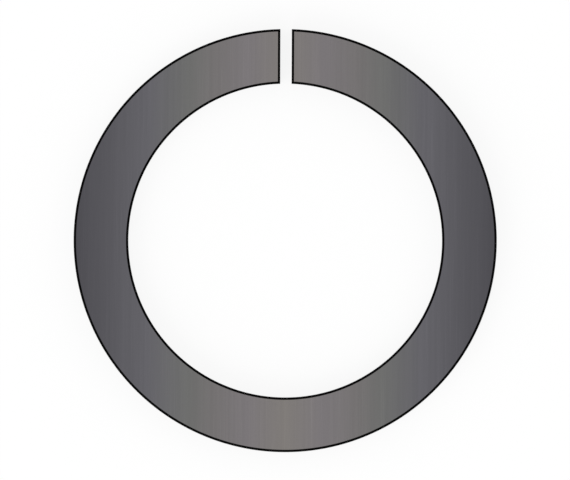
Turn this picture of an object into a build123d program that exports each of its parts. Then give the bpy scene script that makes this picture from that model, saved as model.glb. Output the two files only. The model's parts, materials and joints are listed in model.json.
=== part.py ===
from build123d import *

import os

# Snap ring: one flat split ring of spring steel that is sprung into a groove round a shaft.
# It lies flat. The origin is on the ring's axis at its lower face, +Z is up along that axis,
# and the gap is at +Y. It has its free form, as it is before it is opened over a shaft.

# Driving dimensions, in millimetres.
free_bore_diameter = 11.0  # the hole, when nothing holds the ring open
radial_width = 1.92  # from the wall of the hole to the outer wall, the same all the way round
thickness = 1.0  # of the sheet that the ring is stamped from
gap_width = 0.4  # between the two ends, whose faces are parallel
edge_radius = 0.085  # rounding that tumbling leaves where a flat face meets a cut wall

bore_radius = free_bore_diameter / 2
outer_radius = bore_radius + radial_width


def ring_plan():
    """The flat ring seen from above, with the parallel-sided gap cut through its wall at +Y."""
    wall = Circle(outer_radius) - Circle(bore_radius)
    middle_of_wall = (bore_radius + outer_radius) / 2
    gap = Pos(0, middle_of_wall) * Rectangle(gap_width, 2 * radial_width)
    return wall - gap


def rim_edges(blank):
    """All edges of the blank's lower and upper faces. The upright corners at the gap stay sharp."""
    faces = blank.faces().sort_by(Axis.Z)
    return faces[0].edges() + faces[-1].edges()


def snap_ring():
    """The ring, stamped out of the sheet and tumbled, so that its rims are slightly round."""
    blank = extrude(ring_plan(), thickness)
    rounding = min(edge_radius, thickness / 3, radial_width / 3)
    return fillet(rim_edges(blank), rounding)


os.makedirs("parts", exist_ok=True)
export_step(snap_ring(), "parts/snap_ring.step")
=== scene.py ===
"""A snap ring of blackened spring steel, lying flat on a pale table and seen from straight above.

The ring is one stamping. Its two flat faces are ground, so they show satin steel with a straight
grain. Their colour carries a painted sheen: it is painted lighter and warmer along the middle line
and darker and bluer towards the flanks. The walls that the die has cut are dark steel, and only the
small rounding of every rim keeps the full black that the ring came out of the oven with.
"""

import json
import logging
import math
from dataclasses import dataclass
from enum import Enum

import bmesh
import bpy
from mathutils import Color, Matrix, Vector

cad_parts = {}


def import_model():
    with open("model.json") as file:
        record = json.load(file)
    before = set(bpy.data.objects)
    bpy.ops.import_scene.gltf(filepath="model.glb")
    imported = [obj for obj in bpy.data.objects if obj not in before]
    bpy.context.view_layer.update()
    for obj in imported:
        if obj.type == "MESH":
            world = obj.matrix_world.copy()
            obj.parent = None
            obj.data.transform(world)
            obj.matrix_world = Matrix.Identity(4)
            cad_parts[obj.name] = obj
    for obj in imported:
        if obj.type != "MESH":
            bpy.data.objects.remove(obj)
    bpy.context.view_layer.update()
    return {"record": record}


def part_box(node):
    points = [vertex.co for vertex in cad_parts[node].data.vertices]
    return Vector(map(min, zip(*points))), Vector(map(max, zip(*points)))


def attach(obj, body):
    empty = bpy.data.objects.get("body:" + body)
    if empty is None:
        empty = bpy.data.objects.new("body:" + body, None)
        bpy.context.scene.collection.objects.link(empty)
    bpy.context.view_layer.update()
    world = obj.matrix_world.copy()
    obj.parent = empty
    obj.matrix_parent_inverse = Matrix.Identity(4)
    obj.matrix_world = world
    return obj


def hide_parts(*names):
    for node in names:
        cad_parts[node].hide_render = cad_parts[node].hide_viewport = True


Rgb = tuple[int, int, int]
Rgba = tuple[float, float, float, float]
Span = tuple[float, float]

LOG = logging.getLogger("snap_ring")
CAD_NODE = "snap_ring"
BODY = "root"

# Every length is in metres, and this is one millimetre.
MM = 0.001

WHITE: Rgba = (1.0, 1.0, 1.0, 1.0)

# A share runs from nothing to the whole, and nearly all of a noise lies in the narrower span.
SHARE: Span = (0.0, 1.0)
NOISE: Span = (0.3, 0.7)


def linear(colour: Rgb) -> Rgba:
    """Turns a colour as a screen shows it into the linear one that a shader takes.

    Args:
        colour: red, green and blue from 0 to 255.

    Returns:
        Red, green and blue from 0 to 1 in linear light, and an alpha of 1.
    """
    shown = Color([channel / 255 for channel in colour])
    return (*shown.from_srgb_to_scene_linear(), 1.0)


class Skin(Enum):
    """The kinds of surface on the ring, each with its place in the piece's list of materials."""

    FLAT = 0
    RIM = 1
    WALL = 2


class Side(Enum):
    """The two flat sides of the ring, each with the way in which it faces along +Z."""

    UPPER = 1
    LOWER = -1


class Nodes:
    """A material's or a world's node tree, with short ways to add nodes and join them."""

    def __init__(self, owner: bpy.types.Material | bpy.types.World) -> None:
        """Empties the tree.

        Args:
            owner: what the tree belongs to.
        """
        owner.use_nodes = True
        self.tree = owner.node_tree
        self.tree.nodes.clear()

    def add(self, kind: str, settings: dict | None = None, **inputs: object) -> bpy.types.Node:
        """Adds one node.

        Args:
            kind: the node's type, less the word ShaderNode.
            settings: the node's own properties, by name.
            **inputs: its sockets by name, with _ for a space. An output socket is joined to the
                input, and anything else is set as its value.

        Returns:
            The new node.
        """
        node = self.tree.nodes.new("ShaderNode" + kind)
        for name, value in (settings or {}).items():
            setattr(node, name, value)
        for name, value in inputs.items():
            self.feed(node.inputs[name.replace("_", " ")], value)
        return node

    def feed(self, socket: bpy.types.NodeSocket, value: object) -> None:
        """Joins a socket to an output, or sets its value.

        Args:
            socket: the input socket.
            value: an output socket, or the value to set.
        """
        if isinstance(value, bpy.types.NodeSocket):
            self.tree.links.new(value, socket)
        else:
            socket.default_value = value

    def math(self, operation: str, first: object, second: object = 0.0) -> bpy.types.NodeSocket:
        """Works out one number from two.

        Args:
            operation: the name of the sum, such as ADD.
            first: an output socket or a number.
            second: the same, where the sum needs it.

        Returns:
            The socket that holds the result.
        """
        node = self.add("Math", {"operation": operation})
        self.feed(node.inputs[0], first)
        self.feed(node.inputs[1], second)
        return node.outputs[0]

    def spread(self, value: bpy.types.NodeSocket, source: Span, target: Span) -> bpy.types.NodeSocket:
        """Maps one span of a number onto another, and holds it inside.

        Args:
            value: the number.
            source: the two ends that it is read between.
            target: what these two become.

        Returns:
            The socket that holds the result.
        """
        node = self.add("MapRange", Value=value, From_Min=source[0], From_Max=source[1],
                        To_Min=target[0], To_Max=target[1])
        return node.outputs["Result"]

    def grain(self, width: float, length: float, height: float,
              detail: float = 1.0) -> bpy.types.NodeSocket:
        """Makes a noise that is drawn out into grains.

        Args:
            width: the size of a grain along X, in metres.
            length: its size along Y.
            height: its size along Z.
            detail: how many finer layers the noise has.

        Returns:
            The socket that holds the noise, about 0.5 on average.
        """
        place = self.add("TexCoord").outputs["Object"]
        stretched = self.add("Mapping", Vector=place, Scale=(1 / width, 1 / length, 1 / height))
        noise = self.add("TexNoise", Vector=stretched.outputs["Vector"], Scale=1.0, Detail=detail)
        return noise.outputs["Fac"]

    def bump(self, height: bpy.types.NodeSocket, depth: float) -> bpy.types.NodeSocket:
        """Turns a height from 0 to 1 into a bent normal.

        Args:
            height: the height.
            depth: how far apart 0 and 1 are, in metres.

        Returns:
            The socket that holds the normal.
        """
        return self.add("Bump", Strength=1.0, Distance=depth, Height=height).outputs["Normal"]

    def looked_at(self) -> bpy.types.NodeSocket:
        """Tells the rays by which a thing is seen from those that only carry its light.

        Returns:
            The socket that holds 1 for a ray from the camera, a mirror or a glass, and else 0.
        """
        path = self.add("LightPath").outputs
        seen = self.math("MAXIMUM", path["Is Camera Ray"], path["Is Glossy Ray"])
        return self.math("MAXIMUM", seen, path["Is Transmission Ray"])

    def surface(self, shader: bpy.types.NodeSocket) -> None:
        """Joins a shader to the material's output.

        Args:
            shader: the shader that the surface shows.
        """
        self.add("OutputMaterial", Surface=shader)


@dataclass(frozen=True)
class SheenTone:
    """One colour of the painted sheen on the ground steel, and how far from the middle line it lies."""

    reach: float
    colour: Rgb


@dataclass(frozen=True)
class GroundFace:
    """Satin ground steel of the flat faces, with a straight grain along Y.

    Its colours are a painted sheen, lighter along the middle line and darker out to both flanks.
    Broad bands, streaks and single scratches lie over them, and each makes the colour darker or
    lighter between two shares. A scratch shows only where its noise is high, and it is
    scratch_share as deep as a streak.
    """

    name: str = "ground_face"
    # Painted sheen: the face is painted lighter and warmer at the middle line and darker towards the
    # flanks.
    sheen_tones: tuple[SheenTone, ...] = (
        SheenTone(0.0 * MM, (121, 117, 114)),
        SheenTone(1.3 * MM, (117, 113, 115)),
        SheenTone(2.5 * MM, (111, 108, 108)),
        SheenTone(3.4 * MM, (104, 104, 103)),
        SheenTone(4.8 * MM, (95, 94, 99)),
        SheenTone(7.4 * MM, (71, 70, 75)),
    )
    band_width: float = 0.6 * MM
    band_length: float = 60.0 * MM
    band_tones: Span = (0.98, 1.02)
    streak_width: float = 0.09 * MM
    streak_length: float = 9.0 * MM
    streak_span: Span = (0.25, 0.75)
    streak_tones: Span = (0.97, 1.03)
    streak_depth: float = 0.0006 * MM
    scratch_width: float = 0.02 * MM
    scratch_length: float = 2.5 * MM
    scratch_span: Span = (0.56, 0.72)
    scratch_tones: Span = (0.99, 1.06)
    scratch_share: float = 0.6
    metallic: float = 0.8
    roughness: Span = (0.36, 0.46)

    def sheen_tone(self, nodes: Nodes) -> bpy.types.NodeSocket:
        """Paints the sheen: the colour runs from light at the middle line to dark at both flanks.

        Args:
            nodes: the material's nodes.

        Returns:
            The socket that holds the colour.
        """
        place = nodes.add("TexCoord").outputs["Object"]
        across = nodes.add("SeparateXYZ", Vector=place).outputs["X"]
        flank = self.sheen_tones[-1].reach
        # The ramp paints the sheen across the face, by distance from the middle line.
        sheen_ramp = nodes.add("ValToRGB", Fac=nodes.math("DIVIDE", nodes.math("ABSOLUTE", across), flank))
        stops = sheen_ramp.color_ramp.elements
        for sheen_tone in self.sheen_tones[1:-1]:
            stops.new(sheen_tone.reach / flank)
        for stop, sheen_tone in zip(stops, self.sheen_tones):
            stop.color = linear(sheen_tone.colour)
        return sheen_ramp.outputs["Color"]

    def lightness(self, nodes: Nodes, streaks: bpy.types.NodeSocket,
                  scratches: bpy.types.NodeSocket) -> bpy.types.NodeSocket:
        """Works out how light each spot is, from the broad bands, the streaks and the scratches.

        Args:
            nodes: the material's nodes.
            streaks: the streaks of the grain.
            scratches: the single scratches among them.

        Returns:
            The socket that holds the share of the painted sheen's colour.
        """
        bands = nodes.grain(self.band_width, self.band_length, self.band_length)
        broad = nodes.spread(bands, NOISE, self.band_tones)
        fine = nodes.spread(streaks, self.streak_span, self.streak_tones)
        bright = nodes.spread(scratches, SHARE, self.scratch_tones)
        return nodes.math("MULTIPLY", nodes.math("MULTIPLY", broad, fine), bright)

    def material(self) -> bpy.types.Material:
        """Makes the material.

        Returns:
            The material.
        """
        material = bpy.data.materials.new(self.name)
        nodes = Nodes(material)
        streaks = nodes.grain(self.streak_width, self.streak_length, self.streak_length, detail=2.0)
        hairs = nodes.grain(self.scratch_width, self.scratch_length, self.scratch_length)
        scratches = nodes.spread(hairs, self.scratch_span, SHARE)
        colour = nodes.add("HueSaturation", Color=self.sheen_tone(nodes),
                           Value=self.lightness(nodes, streaks, scratches))
        height = nodes.math("SUBTRACT", streaks, nodes.math("MULTIPLY", scratches, self.scratch_share))
        shader = nodes.add(
            "BsdfPrincipled",
            Base_Color=colour.outputs["Color"],
            Metallic=self.metallic,
            Roughness=nodes.spread(streaks, NOISE, self.roughness),
            Normal=nodes.bump(height, self.streak_depth),
        )
        nodes.surface(shader.outputs["BSDF"])
        return material


@dataclass(frozen=True)
class BlackRim:
    """Matt black scale in the rounding of the rims, where no grinding reaches it."""

    name: str = "black_rim"
    colour: Rgb = (2, 2, 2)
    speck_size: float = 0.03 * MM
    speck_tones: Span = (0.8, 1.2)
    roughness: Span = (0.4, 0.55)
    shine: float = 0.02

    def material(self) -> bpy.types.Material:
        """Makes the material.

        Returns:
            The material.
        """
        material = bpy.data.materials.new(self.name)
        nodes = Nodes(material)
        specks = nodes.grain(self.speck_size, self.speck_size, self.speck_size)
        colour = nodes.add("HueSaturation", Color=linear(self.colour),
                           Value=nodes.spread(specks, NOISE, self.speck_tones))
        shader = nodes.add(
            "BsdfPrincipled",
            Base_Color=colour.outputs["Color"],
            Roughness=nodes.spread(specks, NOISE, self.roughness),
            Specular_IOR_Level=self.shine,
        )
        nodes.surface(shader.outputs["BSDF"])
        return material


@dataclass(frozen=True)
class ShearedWall:
    """Dark walls that the die has cut: a smooth burnished band above a slightly coarser torn one.

    The line between the two bands is wavy. Fine drag lines run up both, pits lie in the torn band
    alone, and a thin scale mottles the whole wall.
    """

    thickness: float
    name: str = "sheared_wall"
    colour: Rgb = (58, 58, 63)
    burnished_share: float = 0.38
    blend: float = 0.08 * MM
    wave_length: float = 1.4 * MM
    wave_rise: float = 5.6 * MM
    wave_height: float = 0.035 * MM
    torn_tones: Span = (1.06, 0.84)
    pit_size: float = 0.07 * MM
    pit_depth: float = 0.005 * MM
    line_width: float = 0.05 * MM
    line_height: float = 1.2 * MM
    line_tones: Span = (0.93, 1.07)
    line_depth: float = 0.003 * MM
    scale_size: float = 0.8 * MM
    scale_tones: Span = (0.94, 1.06)
    metallic: float = 0.7
    roughness: Span = (0.32, 0.5)

    def torn(self, nodes: Nodes) -> bpy.types.NodeSocket:
        """Gives 0 on the burnished band, 1 on the torn one and a wavy line between them.

        Args:
            nodes: the material's nodes.

        Returns:
            The socket that holds the share.
        """
        place = nodes.add("TexCoord").outputs["Object"]
        height = nodes.add("SeparateXYZ", Vector=place).outputs["Z"]
        noise = nodes.grain(self.wave_length, self.wave_length, self.wave_rise, detail=2.0)
        wave = nodes.spread(noise, NOISE, (-self.wave_height, self.wave_height))
        line = self.thickness * (1 - self.burnished_share)
        blend = (line + self.blend / 2, line - self.blend / 2)
        return nodes.spread(nodes.math("ADD", height, wave), blend, SHARE)

    def lightness(self, nodes: Nodes, lines: bpy.types.NodeSocket,
                  pitted: bpy.types.NodeSocket) -> bpy.types.NodeSocket:
        """Works out how light each spot is, from its drag lines, its pits and the scale on it.

        Args:
            nodes: the material's nodes.
            lines: the drag lines.
            pitted: the pits of the torn band.

        Returns:
            The socket that holds the share of the wall's colour.
        """
        scale = nodes.grain(self.scale_size, self.scale_size, self.scale_size, detail=2.0)
        rough = nodes.spread(pitted, SHARE, self.torn_tones)
        scored = nodes.spread(lines, NOISE, self.line_tones)
        mottled = nodes.spread(scale, NOISE, self.scale_tones)
        return nodes.math("MULTIPLY", nodes.math("MULTIPLY", rough, scored), mottled)

    def material(self) -> bpy.types.Material:
        """Makes the material.

        Returns:
            The material.
        """
        material = bpy.data.materials.new(self.name)
        nodes = Nodes(material)
        torn = self.torn(nodes)
        lines = nodes.grain(self.line_width, self.line_width, self.line_height)
        pits = nodes.grain(self.pit_size, self.pit_size, self.pit_size, detail=3.0)
        pitted = nodes.math("MULTIPLY", torn, pits)
        colour = nodes.add("HueSaturation", Color=linear(self.colour),
                           Value=self.lightness(nodes, lines, pitted))
        scored = nodes.math("MULTIPLY", lines, self.line_depth / self.pit_depth)
        shader = nodes.add(
            "BsdfPrincipled",
            Base_Color=colour.outputs["Color"],
            Metallic=self.metallic,
            Roughness=nodes.spread(torn, SHARE, self.roughness),
            Normal=nodes.bump(nodes.math("ADD", scored, pitted), self.pit_depth),
        )
        nodes.surface(shader.outputs["BSDF"])
        return material


@dataclass(frozen=True)
class StampedRing:
    """The whole ring, as one closed shell.

    Its round stretch is spun from spin_gap on one side of +Y to as far on the other. That is wider
    than the real gap, whose straight faces it is then drawn out to.
    """

    bore_radius: float
    outer_radius: float
    thickness: float
    edge_radius: float
    gap_width: float = 0.4 * MM
    name: str = "stamped_ring"
    spin_gap: float = math.radians(3.2)
    spin_steps: int = 354
    rim_steps: int = 6
    level_share: float = 0.5
    sharp_angle: float = math.radians(30)

    def plan(self, shell: bmesh.types.BMesh) -> list[bmesh.types.BMFace]:
        """Lays the ring's plan as a strip of faces, at the height where its walls start.

        A line across the wall is spun almost all the way round, from one side of the gap to the
        other, and both its ends are then drawn out to the straight faces of the gap.

        Args:
            shell: the mesh that is being made.

        Returns:
            The strip's faces.
        """
        radii = (self.bore_radius, self.outer_radius)
        ends = [shell.verts.new((0, radius, self.edge_radius)) for radius in radii]
        start = shell.edges.new(ends)
        turn = Matrix.Rotation(self.spin_gap, 3, "Z")
        bmesh.ops.rotate(shell, verts=ends, cent=(0, 0, 0), matrix=turn)
        spun = bmesh.ops.spin(
            shell, geom=[*ends, start], cent=(0, 0, 0), axis=(0, 0, 1), dvec=(0, 0, 0),
            angle=math.tau - 2 * self.spin_gap, steps=self.spin_steps, use_merge=False,
        )
        stop = next(part for part in spun["geom_last"] if isinstance(part, bmesh.types.BMEdge))
        for edge, side in ((start, -1), (stop, 1)):
            drawn = bmesh.ops.extrude_edge_only(shell, edges=[edge])["geom"]
            for corner in (part for part in drawn if isinstance(part, bmesh.types.BMVert)):
                self.place_at_gap(corner, side)
        return list(shell.faces)

    def place_at_gap(self, corner: bmesh.types.BMVert, side: int) -> None:
        """Moves a corner round the ring until it lies on a face of the gap.

        Args:
            corner: the corner, which keeps its distance from the ring's axis.
            side: -1 for the face at -X and 1 for the one at +X.
        """
        radius = corner.co.xy.length
        corner.co.x = side * self.gap_width / 2
        corner.co.y = math.sqrt(radius**2 - corner.co.x**2)

    def raise_walls(self, shell: bmesh.types.BMesh, strip: list[bmesh.types.BMFace]) -> None:
        """Draws the plan up into walls, as high as the flat part of them.

        Args:
            shell: the mesh that is being made.
            strip: the plan's faces.
        """
        drawn = bmesh.ops.extrude_face_region(shell, geom=strip, use_keep_orig=True)["geom"]
        corners = [part for part in drawn if isinstance(part, bmesh.types.BMVert)]
        height = self.thickness - 2 * self.edge_radius
        bmesh.ops.translate(shell, verts=corners, vec=(0, 0, height))

    def sort_skins(self, shell: bmesh.types.BMesh) -> None:
        """Gives each face the skin of a flat side or of a wall, by how far up or down it faces.

        Args:
            shell: the mesh that is being made.
        """
        shell.normal_update()
        for face in shell.faces:
            level = abs(face.normal.z) > self.level_share
            face.material_index = (Skin.FLAT if level else Skin.WALL).value

    def round_rims(self, shell: bmesh.types.BMesh, side: Side) -> None:
        """Rounds every rim of one flat side, by insetting that side in steps along a quarter circle.

        Args:
            shell: the mesh that is being made.
            side: which of the two flat sides.
        """
        middle = self.thickness / 2
        flat = [
            face for face in shell.faces
            if face.material_index == Skin.FLAT.value
            and (face.calc_center_median().z - middle) * side.value > 0
        ]
        inset, risen = 0.0, 0.0
        for step in range(1, self.rim_steps + 1):
            angle = math.pi / 2 * step / self.rim_steps
            next_inset = self.edge_radius * (1 - math.cos(angle))
            next_risen = self.edge_radius * math.sin(angle)
            ring = bmesh.ops.inset_region(
                shell, faces=flat, thickness=next_inset - inset, use_boundary=True, use_even_offset=True,
            )["faces"]
            for face in ring:
                face.material_index = Skin.RIM.value
            corners = list({corner for face in flat for corner in face.verts})
            rise = (next_risen - risen) * side.value
            bmesh.ops.translate(shell, verts=corners, vec=(0, 0, rise))
            inset, risen = next_inset, next_risen

    def shade(self, shell: bmesh.types.BMesh) -> None:
        """Makes walls and rims smooth, and keeps the gap's corners and the flat faces crisp.

        Args:
            shell: the mesh that is being made.
        """
        for face in shell.faces:
            face.smooth = face.material_index != Skin.FLAT.value
        for edge in shell.edges:
            edge.smooth = edge.calc_face_angle() < self.sharp_angle

    def model(self) -> bpy.types.Mesh:
        """Models the ring.

        Returns:
            The closed mesh, with its faces sorted by skin.
        """
        shell = bmesh.new()
        strip = self.plan(shell)
        self.raise_walls(shell, strip)
        self.sort_skins(shell)
        for side in Side:
            self.round_rims(shell, side)
        bmesh.ops.recalc_face_normals(shell, faces=shell.faces)
        self.shade(shell)
        mesh = bpy.data.meshes.new(self.name)
        shell.to_mesh(mesh)
        shell.free()
        return mesh

    def dress(self, mesh: bpy.types.Mesh) -> None:
        """Puts a finish on every skin.

        Args:
            mesh: the ring's mesh.
        """
        finishes = {
            Skin.FLAT: GroundFace(),
            Skin.RIM: BlackRim(),
            Skin.WALL: ShearedWall(self.thickness),
        }
        for skin in Skin:
            mesh.materials.append(finishes[skin].material())

    def build(self) -> bpy.types.Object:
        """Models the ring, dresses it and stands it for the CAD node.

        Returns:
            The finished piece.
        """
        mesh = self.model()
        self.dress(mesh)
        piece = bpy.data.objects.new(self.name, mesh)
        bpy.context.scene.collection.objects.link(piece)
        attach(piece, BODY)
        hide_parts(CAD_NODE)
        return piece


@dataclass(frozen=True)
class Lamp:
    """A soft, white, square lamp that looks at the ring."""

    name: str
    place: tuple[float, float, float]
    width: float
    watts: float

    def build(self) -> bpy.types.Object:
        """Hangs the lamp.

        Returns:
            The lamp.
        """
        light = bpy.data.lights.new(self.name, "AREA")
        light.size = self.width
        light.energy = self.watts
        lamp = bpy.data.objects.new(self.name, light)
        lamp.location = self.place
        lamp.rotation_euler = (-Vector(self.place)).to_track_quat("-Z", "Y").to_euler()
        lamp.visible_camera = False
        bpy.context.scene.collection.objects.link(lamp)
        return lamp


@dataclass(frozen=True)
class Table:
    """The pale table under the ring. It shows white, and keeps part of the ring's shadow."""

    name: str = "table_top"
    width: float = 1.2
    drop: float = 0.004 * MM
    whiteness: float = 0.96
    shadow_share: float = 0.12

    def material(self) -> bpy.types.Material:
        """Makes the table's white, which lamps light only in part where it is looked at.

        Returns:
            The material.
        """
        material = bpy.data.materials.new(self.name)
        nodes = Nodes(material)
        paint = (self.whiteness, self.whiteness, self.whiteness, 1.0)
        lit = nodes.add("BsdfDiffuse", Color=paint).outputs["BSDF"]
        white = nodes.add("Emission", Color=WHITE, Strength=1.0).outputs["Emission"]
        glow = nodes.math("MULTIPLY", nodes.looked_at(), 1 - self.shadow_share)
        mix = nodes.add("MixShader", Fac=glow)
        # Both shaders of a mix have the same name, so they are joined by their places after the share.
        for socket, shader in zip(mix.inputs[1:], (lit, white)):
            nodes.feed(socket, shader)
        nodes.surface(mix.outputs["Shader"])
        return material

    def build(self) -> bpy.types.Object:
        """Lays the table just under the ring.

        Returns:
            The table.
        """
        sheet = bmesh.new()
        bmesh.ops.create_grid(sheet, x_segments=1, y_segments=1, size=self.width / 2)
        bmesh.ops.translate(sheet, verts=sheet.verts, vec=(0, 0, -self.drop))
        mesh = bpy.data.meshes.new(self.name)
        sheet.to_mesh(mesh)
        sheet.free()
        mesh.materials.append(self.material())
        top = bpy.data.objects.new(self.name, mesh)
        bpy.context.scene.collection.objects.link(top)
        return top


@dataclass(frozen=True)
class Room:
    """Even light from all round, white where it is looked at or mirrored."""

    name: str = "white_room"
    glow: float = 0.8

    def build(self) -> bpy.types.World:
        """Makes the world.

        Returns:
            The world.
        """
        world = bpy.data.worlds.new(self.name)
        nodes = Nodes(world)
        strength = nodes.spread(nodes.looked_at(), SHARE, (self.glow, 1.0))
        light = nodes.add("Background", Color=WHITE, Strength=strength)
        nodes.add("OutputWorld", Surface=light.outputs["Background"])
        bpy.context.scene.world = world
        return world


@dataclass(frozen=True)
class PlanCamera:
    """A camera that looks straight down, with parallel lines of sight, as the drawing does.

    The drawing's gap is a little to the right of the ring's centre, so the camera is turned by gap_turn.
    """

    outer_diameter: float
    name: str = "plan_camera"
    image_width_px: int = 570
    image_height_px: int = 480
    ring_diameter_px: float = 423.2
    ring_centre_px: tuple[float, float] = (285.2, 240.6)
    gap_turn: float = math.radians(0.25)
    height: float = 0.2
    nearest: float = 0.01
    farthest: float = 2.0

    def build(self) -> bpy.types.Object:
        """Sets the camera over the ring, so that the ring lies where the drawing has it.

        Returns:
            The camera.
        """
        pixel = self.outer_diameter / self.ring_diameter_px
        right_px = self.ring_centre_px[0] - self.image_width_px / 2
        down_px = self.ring_centre_px[1] - self.image_height_px / 2
        lens = bpy.data.cameras.new(self.name)
        lens.type = "ORTHO"
        lens.ortho_scale = self.image_width_px * pixel
        lens.clip_start = self.nearest
        lens.clip_end = self.farthest
        camera = bpy.data.objects.new(self.name, lens)
        camera.rotation_euler.z = self.gap_turn
        camera.location = (-right_px * pixel, down_px * pixel, self.height)
        bpy.context.scene.collection.objects.link(camera)
        bpy.context.scene.camera = camera
        return camera


def ring_from_frame(record: dict) -> StampedRing:
    """Takes the ring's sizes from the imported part.

    Args:
        record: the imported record.

    Returns:
        The ring, not yet modelled.
    """
    low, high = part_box(CAD_NODE)
    thickness = high.z - low.z
    bore = next(mount for mount in record["mounts"] if mount["name"] == "shaft_bore")["dims"]
    return StampedRing(
        bore_radius=bore["r_mm"] * MM,
        outer_radius=(high.x - low.x) / 2,
        thickness=thickness,
        edge_radius=(thickness - bore["length_mm"] * MM) / 2,
    )


def main() -> None:
    """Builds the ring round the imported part, then the table, the lamps, the room and the camera."""
    logging.basicConfig(level=logging.INFO, format="%(message)s")
    bpy.context.scene.view_settings.view_transform = "Standard"
    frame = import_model()
    ring = ring_from_frame(frame["record"])
    parts = (
        ring,
        Table(),
        Lamp("key_lamp", place=(-0.21, -0.26, 0.30), width=0.36, watts=0.75),
        Lamp("fill_lamp", place=(0.33, 0.14, 0.27), width=0.36, watts=0.20),
        Room(),
        PlanCamera(outer_diameter=2 * ring.outer_radius),
    )
    for part in parts:
        built = part.build()
        LOG.info("built %s", built.name)


if __name__ == "__main__":
    main()
